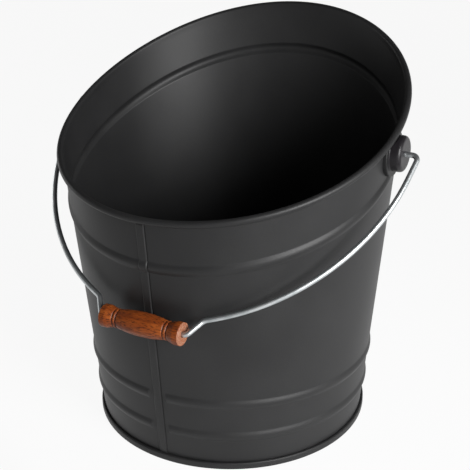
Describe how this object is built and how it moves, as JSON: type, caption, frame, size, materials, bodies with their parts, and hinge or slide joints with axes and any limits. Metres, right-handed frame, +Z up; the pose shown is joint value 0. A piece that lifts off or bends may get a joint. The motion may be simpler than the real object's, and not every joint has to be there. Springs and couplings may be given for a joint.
{
  "type": "fireplace bucket",
  "caption": "Tapered sheet-steel fireplace bucket with a slanted rolled rim, swaged beads, pressed ears and a swinging wire bail that carries a turned wooden grip.",
  "frame": {"origin": "on the floor, on the bucket's own axis: the middle of the foot ring's underside", "axes": "+Z up the bucket's axis; -Y towards the low pouring side, the side seam and the resting bail; X through the two ears"},
  "size_m": [0.3346, 0.3134, 0.3488],
  "materials": {
    "black_powder_coat": "satin black powder coat with a faint orange peel",
    "ear_black": "smooth satin black",
    "rim_steel": "drawn mild-steel wire, inside the rolled rim",
    "bright_zinc": "bright zinc-plated wire",
    "stained_wood": "turned hardwood, red-brown stain under a thin varnish"
  },
  "bodies": {
    "bucket": {"body_wall": "black_powder_coat", "rim_wire": "rim_steel", "bottom_plate": "black_powder_coat", "ear_right": "ear_black", "ear_left": "ear_black"},
    "bail": {"bail_wire": "bright_zinc"},
    "grip": {"grip": "stained_wood"}
  },
  "joints": [
    {"name": "bail_swing", "type": "hinge", "parent": "bucket", "child": "bail", "pos_m": [0, 0.005, 0.2614], "axis": [-1, 0, 0], "range_deg": [0, 262]},
    {"name": "grip_spin", "type": "hinge", "parent": "bail", "child": "grip", "pos_m": [0, -0.1459, 0.14207], "axis": [1, 0, 0], "continuous": true}
  ]
}
